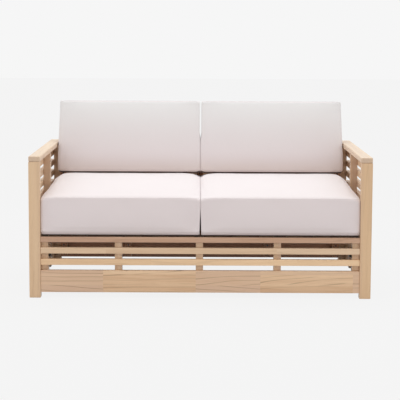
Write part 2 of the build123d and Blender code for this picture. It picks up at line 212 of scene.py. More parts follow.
# Sizes and colours that a user would change
class WoodSettings(PropertyGroup):
    pale: FloatVectorProperty(
        name="Pale Wood", description="Colour between the growth rings",
        subtype="COLOR", size=3, min=0.0, max=1.0, default=(0.800, 0.590, 0.395),
    )
    dark: FloatVectorProperty(
        name="Dark Wood", description="Colour of the denser streaks",
        subtype="COLOR", size=3, min=0.0, max=1.0, default=(0.610, 0.400, 0.245),
    )
    grey: FloatVectorProperty(
        name="Grey Wood", description="Colour of the cooler staves",
        subtype="COLOR", size=3, min=0.0, max=1.0, default=(0.660, 0.480, 0.365),
    )
    end_grain: FloatVectorProperty(
        name="End Grain", description="Colour of the sawn ends",
        subtype="COLOR", size=3, min=0.0, max=1.0, default=(0.520, 0.360, 0.230),
    )
    ring_width: FloatProperty(
        name="Ring Width", description="Distance from one growth ring to the next",
        subtype="DISTANCE", unit="LENGTH", min=0.001, default=0.0052,
    )
    line_width: FloatProperty(
        name="Line Spacing", description="Distance from one dark grain line to the next",
        subtype="DISTANCE", unit="LENGTH", min=0.002, default=0.017,
    )


class CushionSettings(PropertyGroup):
    cover: FloatVectorProperty(
        name="Cover", description="Colour of the woven cover",
        subtype="COLOR", size=3, min=0.0, max=1.0, default=(0.802, 0.718, 0.716),
    )
    voxel: FloatProperty(
        name="Mesh Size", description="Edge length of the cushions' simulated mesh",
        subtype="DISTANCE", unit="LENGTH", min=0.003, default=0.009,
    )
    slack: FloatProperty(
        name="Slack", description="How far inside the finished face a panel starts before it is filled",
        subtype="DISTANCE", unit="LENGTH", min=0.0, default=0.004,
    )
    swell: FloatProperty(
        name="Swell", description="Most that a panel may move out while it is filled",
        subtype="DISTANCE", unit="LENGTH", min=0.0, default=0.008,
    )
    filling: FloatProperty(
        name="Filling", description="Pressure of the filling on the cover", min=0.0, default=4.0,
    )
    seam_radius: FloatProperty(
        name="Seam Radius", description="Radius of the sewn edge between two panels",
        subtype="DISTANCE", unit="LENGTH", min=0.0, default=0.0009,
    )
    thread_pitch: FloatProperty(
        name="Thread Pitch", description="Distance from one thread of the weave to the next",
        subtype="DISTANCE", unit="LENGTH", min=0.0002, default=0.0011,
    )


class StageSettings(PropertyGroup):
    background: FloatProperty(
        name="Background", description="Brightness of the paper behind and under the sofa",
        min=0.0, max=1.0, default=0.922,
    )
    floor_shade: FloatProperty(
        name="Floor Shade", description="Share of the floor's look that takes the sofa's shadow",
        subtype="FACTOR", min=0.0, max=1.0, default=0.06,
    )
    sky: FloatProperty(name="Sky", description="Strength of the light from all round", min=0.0, default=1.04)
    top_power: FloatProperty(
        name="Top Lamp", description="Power of the large lamp overhead", unit="POWER", min=0.0, default=7.0,
    )
    rear_power: FloatProperty(
        name="Rear Lamp", description="Power of the large lamp above the back",
        unit="POWER", min=0.0, default=31.5,
    )
    rear_colour: FloatVectorProperty(
        name="Rear Lamp Colour", description="Colour of the large lamp above the back",
        subtype="COLOR", size=3, min=0.0, max=2.0, default=(0.82, 1.0, 1.02),
    )


# Shader helpers
def new_group(name, inputs, outputs):
    """An empty shader group with its sockets, and its input and output nodes."""
    tree = bpy.data.node_groups.new(name, "ShaderNodeTree")
    for side, sockets in (("INPUT", inputs), ("OUTPUT", outputs)):
        for label, kind in sockets.items():
            tree.interface.new_socket(name=label, in_out=side, socket_type=f"NodeSocket{kind}")
    return tree, tree.nodes.new("NodeGroupInput").outputs, tree.nodes.new("NodeGroupOutput").inputs


def feed(tree, socket, value):
    """Link a socket to another node's output, or set its value."""
    if isinstance(value, bpy.types.NodeSocket):
        tree.links.new(value, socket)
    else:
        socket.default_value = value


def put(tree, kind, sockets=None, **settings):
    """A node of a kind, with its settings and its sockets linked or set."""
    node = tree.nodes.new(f"ShaderNode{kind}")
    for name, value in settings.items():
        setattr(node, name, value)
    for key, value in (sockets or {}).items():
        feed(tree, node.inputs[key], value)
    return node


def maths(tree, operation, *values):
    return put(tree, "Math", dict(enumerate(values)), operation=operation).outputs[0]


def times(tree, first, second):
    return maths(tree, "MULTIPLY", first, second)


def times_plus(tree, first, second, third):
    return maths(tree, "MULTIPLY_ADD", first, second, third)


def blend_colours(tree, share, first, second, mode="MIX"):
    node = put(tree, "Mix", data_type="RGBA", blend_type=mode, clamp_factor=True)
    for name, value in (("Factor", share), ("A", first), ("B", second)):
        feed(tree, next(s for s in node.inputs if s.name == name and s.enabled), value)
    return next(s for s in node.outputs if s.enabled)


def marked(tree, colour, marks):
    """A colour with others laid over it, each by its share."""
    for share, mark in marks:
        colour = blend_colours(tree, share, colour, mark)
    return colour


def ramp_between(tree, value, low, high, start=0.0, end=1.0):
    """A value carried from one span to another with soft ends."""
    sockets = {"Value": value, "From Min": low, "From Max": high, "To Min": start, "To Max": end}
    return put(tree, "MapRange", sockets, interpolation_type="SMOOTHSTEP").outputs["Result"]


def stretched(tree, axes, scales, offset):
    """Coordinates scaled on each axis and moved along all three by an offset."""
    parts = [times_plus(tree, part, scale, offset) for part, scale in zip(axes, scales)]
    return put(tree, "CombineXYZ", dict(enumerate(parts))).outputs[0]


def split(tree, vector):
    """The three parts of a vector."""
    return put(tree, "SeparateXYZ", {0: vector}).outputs


def noise(tree, place, detail, scale=1.0, **sockets):
    return put(tree, "TexNoise", {"Vector": place, "Scale": scale, "Detail": detail, **sockets}).outputs[0]


def chances(tree, *parts):
    """A random value and colour for each whole place."""
    place = put(tree, "CombineXYZ", dict(enumerate(parts))).outputs[0]
    return put(tree, "TexWhiteNoise", {"Vector": place}, noise_dimensions="3D").outputs


def rgba(colour, shades=PLAIN):
    """A colour times a share for each of its parts, as a colour socket takes it."""
    return (*[part * share for part, share in zip(colour, shades)], 1.0)


def wood_group():
    """Wood in grain space: X along the grain, Y across the face and Z through it, glued up from staves."""
    found = bpy.data.node_groups.get("Planed Wood")
    if found:
        return found
    wood = bpy.context.scene.loveseat_wood
    amounts = (
        "Stave Length", "Stave Width", "Stagger", "Short Share", "Patchwork", "Figure", "Lines", "Knots", "Seed",
    )
    tree, given, result = new_group(
        "Planed Wood", {"Vector": "Vector", **dict.fromkeys(amounts, "Float")},
        {"Color": "Color", "Roughness": "Float", "Height": "Float"},
    )
    axes = split(tree, given["Vector"])
    x, y, z = axes
    row = maths(tree, "FLOOR", maths(tree, "DIVIDE", y, given["Stave Width"]))
    row_chance = chances(tree, row, given["Seed"])["Value"]
    along = maths(tree, "DIVIDE", x, given["Stave Length"])
    run = times_plus(tree, row_chance, given["Stagger"], along)
    long_one = maths(tree, "GREATER_THAN", maths(tree, "FRACT", run), given["Short Share"])
    cell = times_plus(tree, maths(tree, "FLOOR", run), 2.0, long_one)
    chance = chances(tree, cell, row, given["Seed"])
    tone = put(tree, "SeparateColor", {0: chance["Color"]}).outputs
    offset = times_plus(tree, chance["Value"], STAVE_STEP, given["Seed"])

    streak = noise(tree, stretched(tree, axes, STREAK_SCALES, offset), 4.0, Roughness=0.6, Distortion=0.7)
    band = noise(tree, stretched(tree, axes, BAND_SCALES, offset), 2.0, Distortion=0.4)
    warp = noise(tree, stretched(tree, axes, WARP_SCALES, offset), 2.0)
    slant = times(tree, x, times_plus(tree, tone[2], 2.0 * PITH_SLANT, -PITH_SLANT))
    spread = times_plus(tree, tone[0], 2.0 * PITH_SPREAD, -PITH_SPREAD)
    pith_y = maths(tree, "ADD", maths(tree, "ADD", y, slant), spread)
    pith_z = maths(tree, "ADD", z, PITH_DEPTH)
    squares = [times(tree, part, part) for part in (pith_y, pith_z)]
    radius = maths(tree, "SQRT", maths(tree, "ADD", *squares))
    ring_place = times_plus(tree, warp, RING_WANDER, radius)
    waves = [
        maths(tree, "SINE", times(tree, ring_place, math.tau / width))
        for width in (wood.ring_width, wood.line_width)
    ]
    ring = ramp_between(tree, waves[0], *RAMPS["ring"])
    line_band = ramp_between(tree, band, *RAMPS["line band"])
    line = times(tree, ramp_between(tree, waves[1], *RAMPS["line"]), line_band)
    pore = noise(tree, stretched(tree, axes, PORE_SCALES, offset), 1.0)
    pore = ramp_between(tree, pore, *RAMPS["pore"])
    knot_place = stretched(tree, axes, KNOT_SCALES, offset)
    knot_cell = put(tree, "TexVoronoi", {"Vector": knot_place, "Scale": 1.0, "Randomness": 1.0}).outputs
    knot_chance = put(tree, "SeparateColor", {0: knot_cell["Color"]}).outputs[0]
    knot_here = times(tree, maths(tree, "GREATER_THAN", knot_chance, KNOTLESS), given["Knots"])
    knot, halo = [
        times(tree, ramp_between(tree, knot_cell["Distance"], *RAMPS[mark]), knot_here)
        for mark in ("knot", "halo")
    ]

    fine_share = times(tree, ramp_between(tree, streak, *RAMPS["streak"]), STRENGTHS["streak"])
    wide_share = ramp_between(tree, band, *RAMPS["band"])
    streaks = times_plus(tree, wide_share, STRENGTHS["band"], fine_share)
    patch = times(tree, times(tree, tone[1], given["Patchwork"]), STRENGTHS["patch"])
    share = times_plus(tree, streaks, given["Figure"], patch)
    colour = blend_colours(tree, share, rgba(wood.pale), rgba(wood.dark))
    cool = times(tree, ramp_between(tree, tone[2], *RAMPS["grey"]), given["Patchwork"])
    cool = maths(tree, "MAXIMUM", cool, times_plus(tree, long_one, -0.5, 0.5))
    ring_share = times(tree, ring, times(tree, given["Figure"], STRENGTHS["ring"]))
    colour = marked(tree, colour, (
        (cool, rgba(wood.grey)),
        (ring_share, rgba(wood.dark)),
        (times(tree, line, given["Lines"]), rgba(wood.dark, LINE_SHADES)),
        (times(tree, pore, STRENGTHS["pore"]), rgba(wood.end_grain)),
        (times(tree, halo, STRENGTHS["halo"]), rgba(wood.dark)),
        (times(tree, knot, STRENGTHS["knot"]), rgba(KNOT_COLOUR)),
    ))
    rough = times_plus(tree, pore, ROUGHNESS["pore"], ROUGHNESS["wood"])
    rough = times_plus(tree, streak, ROUGHNESS["streak"], rough)
    height = maths(tree, "SUBTRACT", times(tree, ring, RING_RELIEF), pore)
    for name, value in (("Color", colour), ("Roughness", rough), ("Height", height)):
        feed(tree, result[name], value)
    return tree


def weave_group():
    """A plain weave read from the three main planes, by the way that the face looks."""
    found = bpy.data.node_groups.get("Plain Weave")
    if found:
        return found
    tree, given, result = new_group(
        "Plain Weave", {"Vector": "Vector", "Normal": "Vector", "Pitch": "Float"},
        {"Thread": "Float", "Slub": "Float"},
    )
    place, facing = split(tree, given["Vector"]), split(tree, given["Normal"])
    turn = maths(tree, "DIVIDE", math.pi, given["Pitch"])
    waves = [maths(tree, "SINE", times(tree, part, turn)) for part in place]
    weights = [maths(tree, "POWER", maths(tree, "ABSOLUTE", part), PLANE_SHARPNESS) for part in facing]
    shared = [times(tree, times(tree, waves[i - 2], waves[i - 1]), weights[i]) for i in range(3)]
    total = maths(tree, "ADD", maths(tree, "ADD", *shared[:2]), shared[2])
    slubs = [noise(tree, stretched(tree, place, scales, SLUB_OFFSET), 2.0) for scales in SLUB_SCALES]
    slub = times_plus(tree, slubs[0], 0.5, times(tree, slubs[1], 0.5))
    feed(tree, result["Thread"], times_plus(tree, total, 0.5, 0.5))
    feed(tree, result["Slub"], ramp_between(tree, slub, *RAMPS["slub"]))
    return tree


def new_material(name):
    material = bpy.data.materials.new(name)
    material.use_nodes = True
    tree = material.node_tree
    shader = next(n for n in tree.nodes if n.type == "BSDF_PRINCIPLED")
    return material, tree, shader


def finish_shader(tree, shader, colour, roughness, bump, constants):
    """Link a shader's colour, roughness and bump, and set its other sockets."""
    normal = put(tree, "Bump", bump).outputs[0]
    for name, value in {"Base Color": colour, "Roughness": roughness, "Normal": normal, **constants}.items():
        feed(tree, shader.inputs[name], value)


def dress(node, material):
    """Give a frame piece its material in place of the plain one."""
    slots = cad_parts[node].data.materials
    slots.clear()
    slots.append(material)


def dress_board(
    node, name, order, seed, stave, joint=None, short=0.0, patchwork=0.5, figure=0.5, lines=0.2,
    knots=0.0, tint=PLAIN, end_share=0.75, painted_shade_top=0.0, painted_shade_inside=False,
):
    """Give a board its own material. Order says which axes run along, across and through it. Joint is the place
    of a joint that all rows of staves share, and short the share of a short stave in each length."""
    material, tree, shader = new_material(name)
    wood = bpy.context.scene.loveseat_wood
    place = put(tree, "TexCoord").outputs["Object"]
    shift = [part * seed for part in SEED_SHIFTS]
    if joint is not None:
        shift[order[0]] = -joint
    axes = split(tree, put(tree, "Mapping", {"Vector": place, "Location": shift}).outputs[0])
    sockets = {
        "Vector": put(tree, "CombineXYZ", {i: axes[axis] for i, axis in enumerate(order)}).outputs[0],
        "Stave Length": stave[0], "Stave Width": stave[1], "Stagger": STAVE_STAGGER if joint is None else 0.0,
        "Short Share": short, "Patchwork": patchwork, "Figure": figure, "Lines": lines, "Knots": knots,
        "Seed": seed,
    }
    grain = put(tree, "Group", sockets, node_tree=wood_group()).outputs
    facing = split(tree, put(tree, "NewGeometry").outputs["Normal"])
    end = ramp_between(tree, maths(tree, "ABSOLUTE", facing[order[0]]), *RAMPS["end"])
    colour = blend_colours(tree, times(tree, end, end_share), grain["Color"], rgba(wood.end_grain))
    if tint != PLAIN:
        colour = blend_colours(tree, 1.0, colour, rgba(tint), "MULTIPLY")
    # Painted shade: the faces that look forward are darkened
    if painted_shade_inside:
        inside = ramp_between(tree, facing[1], *INNER_FACES)
        inside_shaded = blend_colours(tree, 1.0, colour, rgba(INSIDE_PAINTED_SHADE), "MULTIPLY")
        colour = blend_colours(tree, inside, colour, inside_shaded)
    # Painted shade: top faces in a band behind the seat cushions' front are darkened nearly to black
    if painted_shade_top:
        depth = split(tree, place)[1]
        begun = ramp_between(tree, depth, SEAT_FRONT, SEAT_FRONT + UNDER_CUSHION_SHADE_EDGE, 0.0, painted_shade_top)
        ended = ramp_between(tree, depth, *[SEAT_FRONT + part for part in UNDER_CUSHION_SHADE_END], 1.0, 0.0)
        under = times(tree, begun, ended)
        top = times(tree, ramp_between(tree, facing[2], *UP_FACES), under)
        colour = blend_colours(tree, top, colour, rgba(UNDER_CUSHION_SHADE))
    rough = times_plus(tree, end, ROUGHNESS["end"], grain["Roughness"])
    bump = {"Height": grain["Height"], "Strength": 0.35, "Distance": 0.0004}
    gloss = {"Specular IOR Level": 0.5, "Coat Weight": 0.12, "Coat Roughness": 0.32}
    finish_shader(tree, shader, colour, rough, bump, gloss)
    dress(node, material)


def cover_material(name, on_back):
    """The off-white woven cover. A back cushion's is darker, as painted shade, with more painted shade above the
    crease and painted light higher up. Painted shade in a near-black colour lies at the foot of every cushion."""
    material, tree, shader = new_material(name)
    cushions = bpy.context.scene.loveseat_cushions
    place = put(tree, "TexCoord").outputs["Object"]
    normal = put(tree, "NewGeometry").outputs["Normal"]
    sockets = {"Vector": place, "Normal": normal, "Pitch": cushions.thread_pitch}
    weave = put(tree, "Group", sockets, node_tree=weave_group()).outputs
    # Painted shade: the back cushions' cover is made darker
    cover = [part * (BACK_PAINTED_SHADE if on_back else 1.0) for part in cushions.cover]
    height = split(tree, place)[2]
    colour = blend_colours(tree, weave["Thread"], rgba(cover, THREAD_SHADES), rgba(cover))
    slub = times(tree, weave["Slub"], STRENGTHS["slub"])
    blots = noise(tree, place, 2.0, scale=5.0)
    soil = ramp_between(tree, blots, *RAMPS["soil"], 0.0, STRENGTHS["soil"])
    marks = [(slub, rgba(cover, SLUB_SHADES)), (soil, rgba(cover, SOIL_SHADES))]
    if on_back:
        facing = split(tree, normal)[2]
        # Painted shade near the crease
        crease_shade = ramp_between(tree, height, *CREASE_SHADE_HEIGHTS, 1.0, 0.0)
        # Painted light on the upright faces higher up
        upright = ramp_between(tree, facing, *UPRIGHT_FACES, 1.0, 0.0)
        upper_light = times(tree, ramp_between(tree, height, *UPPER_LIGHT_HEIGHTS), upright)
        # Painted shade: near black on the downward faces at the back cushions' foot
        low = ramp_between(tree, height, *BACK_FOOT_SHADE_HEIGHTS, 1.0, 0.0)
        under = times(tree, ramp_between(tree, facing, *UNDER_FACES), low)
        marks += [
            (crease_shade, rgba(cover, CREASE_PAINTED_SHADES)), (upper_light, rgba(cover, UPPER_PAINTED_LIGHT)), (under, rgba(FOOT_PAINTED_SHADE)),
        ]
    else:
        # Painted shade: near black at the seat cushions' foot
        foot = [SEAT_FOOT + part for part in SEAT_FOOT_SHADE_HEIGHTS]
        marks.append((ramp_between(tree, height, *foot, 1.0, 0.0), rgba(FOOT_PAINTED_SHADE)))
    colour = marked(tree, colour, marks)
    rough = times_plus(tree, weave["Slub"], 0.06, 0.88)
    relief = times_plus(tree, weave["Slub"], 0.6, weave["Thread"])
    bump = {"Height": relief, "Strength": 0.4, "Distance": 0.0003}
    sheen = {"Specular IOR Level": 0.2, "Sheen Weight": 0.15, "Sheen Roughness": 0.5}
    finish_shader(tree, shader, colour, rough, bump, sheen)
    return material


def steel_material(name):
    """Steel with a dark zinc finish, a little blotched."""
    material, tree, shader = new_material(name)
    spots = noise(tree, put(tree, "TexCoord").outputs["Object"], 3.0, scale=380.0)
    share = ramp_between(tree, spots, *RAMPS["spot"])
    colour = blend_colours(tree, share, rgba(STEEL_LIGHT), rgba(STEEL_DARK))
    rough = times_plus(tree, share, 0.18, 0.30)
    bump = {"Height": spots, "Strength": 0.2, "Distance": 0.0001}
    finish_shader(tree, shader, colour, rough, bump, {"Metallic": 1.0})
    return material


# Selection and mesh helpers
def select_only(obj):
    bpy.ops.object.select_all(action="DESELECT")
    obj.select_set(True)
    bpy.context.view_layer.objects.active = obj


def apply_modifiers(obj):
    select_only(obj)
    for modifier in list(obj.modifiers):
        bpy.ops.object.modifier_apply(modifier=modifier.name)


def weigh(obj, name, weights):
    """A vertex group with a weight for each point."""
    group = obj.vertex_groups.new(name=name)
    for number, weight in enumerate(weights):
        group.add([number], weight, "REPLACE")


def smoothstep(value, low, high):
    share = min(1.0, max(0.0, (value - low) / (high - low)))
    return share * share * (3.0 - 2.0 * share)


def soft_blank(node, name):
    """A new object with a fine even mesh over a cushion's plain solid."""
    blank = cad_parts[node].copy()
    blank.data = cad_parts[node].data.copy()
    blank.name = name
    blank.parent = None
    for key in list(blank.keys()):
        del blank[key]
    blank.data.materials.clear()
    bpy.context.scene.collection.objects.link(blank)
    select_only(blank)
    bpy.ops.object.mode_set(mode="EDIT")
    bpy.ops.mesh.select_all(action="SELECT")
    bpy.ops.mesh.remove_doubles(threshold=0.00001)
    bpy.ops.object.mode_set(mode="OBJECT")
    remesh = blank.modifiers.new("Even", "REMESH")
    remesh.mode = "VOXEL"
    remesh.voxel_size = bpy.context.scene.loveseat_cushions.voxel
    apply_modifiers(blank)
    return blank


def hold_share(normal, panel_axis):
    """How firmly a point of the cover is held by the sewn edge beside it."""
    slant = abs(normal.dot(panel_axis))
    return smoothstep(slant, *EDGE_SLANTS) * (1.0 - smoothstep(slant, *PANEL_SLANTS))


def fill_cushion(cushion, panel_axis, free_share, trim):
    """Blow the cover up against its seams. Free_share says how freely a point moves, by place and normal, and
    trim what is added to its place."""
    settings = bpy.context.scene.loveseat_cushions
    mesh = cushion.data
    finished = [v.co.copy() for v in mesh.vertices]
    normals = [v.normal.copy() for v in mesh.vertices]
    held = [hold_share(n, panel_axis) for n in normals]
    weigh(cushion, "held", held)
    for vertex, place, normal, hold in zip(mesh.vertices, finished, normals, held):
        vertex.co = place - normal * settings.slack * (1.0 - hold)
    filled = simulated(cushion, settings.filling)
    rises = [(place - was).dot(normal) for place, was, normal in zip(filled, finished, normals)]
    for _ in range(EVENING_PASSES):
        rises = evened(mesh, rises)
    for vertex, place, normal, rise in zip(mesh.vertices, finished, normals, rises):
        rise = max(-settings.swell, min(settings.swell, rise))
        vertex.co = place + normal * rise * free_share(place, normal) + trim(place)
    mesh.update()


def evened(mesh, values):
    """Each point's value averaged with its neighbours'."""
    sums = list(values)
    counts = [1] * len(values)
    for edge in mesh.edges:
        first, second = edge.vertices
        sums[first] += values[second]
        sums[second] += values[first]
        counts[first] += 1
        counts[second] += 1
    return [total / count for total, count in zip(sums, counts)]


def simulated(cushion, pressure):
    """The places of the cover's points after the cloth has been filled."""
    cloth = cushion.modifiers.new("Fill", "CLOTH")
    for name, value in CLOTH_SETTINGS.items():
        setattr(cloth.settings, name, value)
    cloth.settings.vertex_group_mass = "held"
    cloth.settings.use_pressure = True
    cloth.settings.uniform_pressure_force = pressure
    cloth.settings.effector_weights.gravity = 0.0
    cloth.collision_settings.use_collision = False
    cloth.collision_settings.use_self_collision = False
    scene = bpy.context.scene
    for number in range(FILL_FRAMES):
        scene.frame_set(number + 1)
    evaluated = cushion.evaluated_get(bpy.context.evaluated_depsgraph_get())
    places = [v.co.copy() for v in evaluated.data.vertices]
    cushion.modifiers.remove(cloth)
    scene.frame_set(1)
    return places


def refine(cushion):
    """Even out the filled cover and halve its mesh size."""
    relax = cushion.modifiers.new("Relax", "SMOOTH")
    relax.factor = 0.4
    relax.iterations = 1
    finer = cushion.modifiers.new("Finer", "SUBSURF")
    finer.levels = 1
    finer.render_levels = 1
    apply_modifiers(cushion)
    cushion.vertex_groups.clear()


def finish_cushion(cushion, node, body, cloth):
    """Give a cushion its cloth and put it on its body."""
    select_only(cushion)
    bpy.ops.object.shade_smooth()
    cushion.data.materials.append(cloth)
    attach(cushion, body)
    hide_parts(node)


def soften(cushion, share_of, passes):
    """Round some edges further. Share_of gives how much, by place and normal."""
    weigh(cushion, "soft", [share_of(v.co, v.normal) for v in cushion.data.vertices])
    smooth = cushion.modifiers.new("Soft", "SMOOTH")
    smooth.factor = 0.5
    smooth.iterations = passes
    smooth.vertex_group = "soft"
    apply_modifiers(cushion)


def square_up(cushion, first, second, amount_of):
    """Push a rounded edge between two faces out to a tighter corner. Amount_of gives how far, by place."""
    normals = [v.normal.copy() for v in cushion.data.vertices]
    for vertex, normal in zip(cushion.data.vertices, normals):
        along_first, along_second = normal.dot(first), normal.dot(second)
        share = (2.0 * abs(along_first * along_second)) ** SQUARE_POWER
        out = first * math.copysign(1.0, along_first) + second * math.copysign(1.0, along_second)
        vertex.co += out.normalized() * share * amount_of(vertex.co)
    cushion.data.update()


def meet(cushion, side, line_of):
    """Press the flank on one side out to the line where it touches its neighbour."""
    shares = [smoothstep(v.normal.x * side, *MEETING_SLANTS) for v in cushion.data.vertices]
    for vertex, share in zip(cushion.data.vertices, shares):
        if share > 0.0:
            vertex.co.x += (side * line_of(vertex.co) - vertex.co.x) * share
    cushion.data.update()


def mirrored_cushion(cushion, name):
    """A copy of a left cushion as the right one."""
    twin = cushion.copy()
    twin.data = cushion.data.copy()
    twin.name = name
    bpy.context.scene.collection.objects.link(twin)
    twin.data.transform(Matrix.Scale(-1.0, 4, ACROSS))
    twin.data.flip_normals()
    return twin


def rounded_loop(half_u, half_v):
    """Points and outward directions round a rectangle with round corners."""
    sides = ((1, 1, 0.0), (-1, 1, 0.25), (-1, -1, 0.5), (1, -1, 0.75))
    steps = []
    for sign_u, sign_v, turn in sides:
        for step in range(CORNER_STEPS + 1):
            angle = (turn + 0.25 * step / CORNER_STEPS) * math.tau
            centre = ((half_u - SEW_CORNER) * sign_u, (half_v - SEW_CORNER) * sign_v)
            out = (math.cos(angle), math.sin(angle))
            steps.append(((centre[0] + SEW_CORNER * out[0], centre[1] + SEW_CORNER * out[1]), out))
    points = []
    for (first, out_first), (second, out_second) in zip(steps, steps[1:] + steps[:1]):
        length = math.dist(first, second)
        pieces = max(1, round(length / (4.0 * (half_u + half_v) / SEW_POINTS)))
        for piece in range(pieces):
            share = piece / pieces
            place = [a + (b - a) * share for a, b in zip(first, second)]
            out = [a + (b - a) * share for a, b in zip(out_first, out_second)]
            size = math.hypot(*out)
            points.append((place, [part / size for part in out]))
    return points


def sewn_lines(cushion, axes):
    """The places of the sewn edges round the front and rear panels of a boxed cushion."""
    side_u, side_v, panel = axes
    places = [v.co for v in cushion.data.vertices]
    spans = [(min(p.dot(a) for p in places), max(p.dot(a) for p in places)) for a in axes]
    middle = sum((a * (low + high) / 2 for a, (low, high) in zip(axes, spans)), Vector())
    half_u, half_v, half_n = [(high - low) / 2 for low, high in spans]
    tree = BVHTree.FromPolygons(places, [p.vertices for p in cushion.data.polygons])
    lines = {}
    for side, label in ((1, "front"), (-1, "rear")):
        line = []
        for (u, v), (out_u, out_v) in rounded_loop(half_u - SEW_INSET, half_v - SEW_INSET):
            out = side_u * out_u + side_v * out_v
            start = middle + side_u * u + side_v * v
            flank = tree.ray_cast(start, out, SEW_REACH)[0]
            if flank is None:
                continue
            inner = flank - out * (EDGE_RADIUS + EDGE_MARGIN)
            face = tree.ray_cast(inner, panel * side, half_n * 2)[0]
            if face is None:
                continue
            corner = inner + out * EDGE_MARGIN + panel * (face - inner).dot(panel) - panel * side * EDGE_RADIUS
            line.append(corner + (out + panel * side).normalized() * EDGE_RADIUS)
        for _ in range(EVENING_PASSES):
            line = [(a + b * 2.0 + c) / 4.0 for a, b, c in zip(line[-1:] + line[:-1], line, line[1:] + line[:1])]
        lines[label] = [tree.find_nearest(place)[0] for place in line]
    return lines


def sew_edges(cushion, name, body, axes, cloth):
    """The two sewn edges of a boxed cushion: a thin raised line round each panel."""
    for label, line in sewn_lines(cushion, axes).items():
        curve = bpy.data.curves.new(f"{name}_{label}", "CURVE")
        curve.dimensions = "3D"
        curve.bevel_depth = bpy.context.scene.loveseat_cushions.seam_radius
        curve.bevel_resolution = 1
        spline = curve.splines.new("POLY")
        spline.points.add(len(line) - 1)
        for point, place in zip(spline.points, line):
            point.co = (*place, 1.0)
        spline.use_cyclic_u = True
        seam = bpy.data.objects.new(f"{name}_{label}", curve)
        bpy.context.scene.collection.objects.link(seam)
        select_only(seam)
        bpy.ops.object.convert(target="MESH")
        bpy.ops.object.shade_smooth()
        seam.data.materials.clear()
        seam.data.materials.append(cloth)
        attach(seam, body)


def furnish_pair(left, kind, axes, cloth):
    """Mirror a left cushion, and finish and sew both."""
    right = mirrored_cushion(left, f"Cushion_right_{kind}")
    for cushion, side in ((left, "left"), (right, "right")):
        finish_cushion(cushion, f"{side}_{kind}_cushion", f"{side}_{kind}", cloth)
        sew_edges(cushion, f"Seam_{side}_{kind}", f"{side}_{kind}", axes, cloth)


# Operators, one for each group of like pieces
class LOVESEAT_OT_frame_boards(Operator):
    """Finish the boards, slats, posts and uprights of the arms, front and back"""

    bl_idname = "loveseat.frame_boards"
    bl_label = "Frame Boards"

    def execute(self, context):
        boards = {
            "front_apron": {
                "seed": 25.0, "stave": (0.645, 0.0455), "joint": -0.663, "short": 0.411, "patchwork": 0.9,
                "figure": 0.8, "lines": 0.8, "knots": 0.8, "tint": APRON_TINT,
            },
            # The back apron's forward face carries painted shade
            "back_apron": {
                "seed": 2.0, "stave": (0.57, 0.0455), "patchwork": 0.75, "figure": 0.8, "lines": 0.5,
                "knots": 0.8, "painted_shade_inside": True,
            },
            # Painted shade: the rail is darkened, and nearly black on top under the cushions
            "front_rail": {
                "seed": 3.0, "stave": ONE_PIECE, "patchwork": 0.3, "figure": 0.8, "tint": RAIL_PAINTED_SHADE,
                "painted_shade_top": 0.9,
            },
            "front_slat_2": {"seed": 4.0, "stave": (0.7, 0.2), "patchwork": 0.4, "figure": 0.45},
            "front_slat_1": {"seed": 5.0, "stave": (0.6, 0.2), "figure": 0.4, "tint": FRONT_SLAT_TINT},
            "back_slats": {"seed": 6.0, "stave": (0.65, 0.0472)},
        }
        for node, look in boards.items():
            dress_board(node, f"Board_{node}", ALONG_X, **look)
        for side, seed in (("left", 20.0), ("right", 40.0)):
            leg = {"stave": (2.0, 0.0157), "patchwork": 0.35, "figure": 0.35, "tint": LEG_TINTS[side]}
            # Painted shade on the rear posts and mid stiles
            upright = {"stave": ONE_PIECE, "patchwork": 0.4, "tint": UPRIGHT_PAINTED_SHADE}
            apron = {"stave": (0.5, 0.0455), "patchwork": 0.7, "figure": 0.7, "knots": 0.6}
            slat = {"stave": (0.6, 0.2), "figure": 0.45}
            dress_board(f"{side}_front_leg", f"Board_{side}_leg", ALONG_Z, seed=seed, **leg)
            dress_board(f"{side}_rear_post", f"Board_{side}_post", ALONG_Z, seed=seed + 1, **upright)
            dress_board(f"{side}_mid_stile", f"Board_{side}_mid", ALONG_Z, seed=seed + 2, **upright)
            dress_board(f"{side}_side_apron", f"Board_{side}_apron", ALONG_Y, seed=seed + 3, **apron)
            for slat_number in range(1, 10):
                name = f"{side}_side_slat_{slat_number}"
                dress_board(name, f"Board_{name}", ALONG_Y, seed=seed + 3 + slat_number, **slat)
        stave = (2.0, 0.1)
        for number in range(1, 6):
            node = f"front_stile_{number}"
            # Painted shade on the stiles' tops under the cushions
            dress_board(node, f"Board_{node}", ALONG_Z, seed=60.0 + number, stave=stave, painted_shade_top=0.9)
        # The back stiles' forward faces carry painted shade
        dress_board("back_stiles", "Board_back_stiles", ALONG_Z, seed=67.0, stave=stave, painted_shade_inside=True)
        return {"FINISHED"}


class LOVESEAT_OT_arm_caps(Operator):
    """Finish the flat caps on the arms and the back"""

    bl_idname = "loveseat.arm_caps"
    bl_label = "Arm and Back Caps"

    def execute(self, context):
        # Painted light: the cooler tint on the caps
        look = {"stave": (0.6, 0.025), "patchwork": 0.35, "figure": 0.35, "tint": CAP_PAINTED_LIGHT, "end_share": 0.3}
        dress_board("left_arm_cap", "Cap_left", ALONG_Y_FLAT, seed=71.0, **look)
        dress_board("right_arm_cap", "Cap_right", ALONG_Y_FLAT, seed=72.0, **look)
        dress_board("back_cap", "Cap_back", ALONG_X_FLAT, seed=73.0, **look)
        return {"FINISHED"}


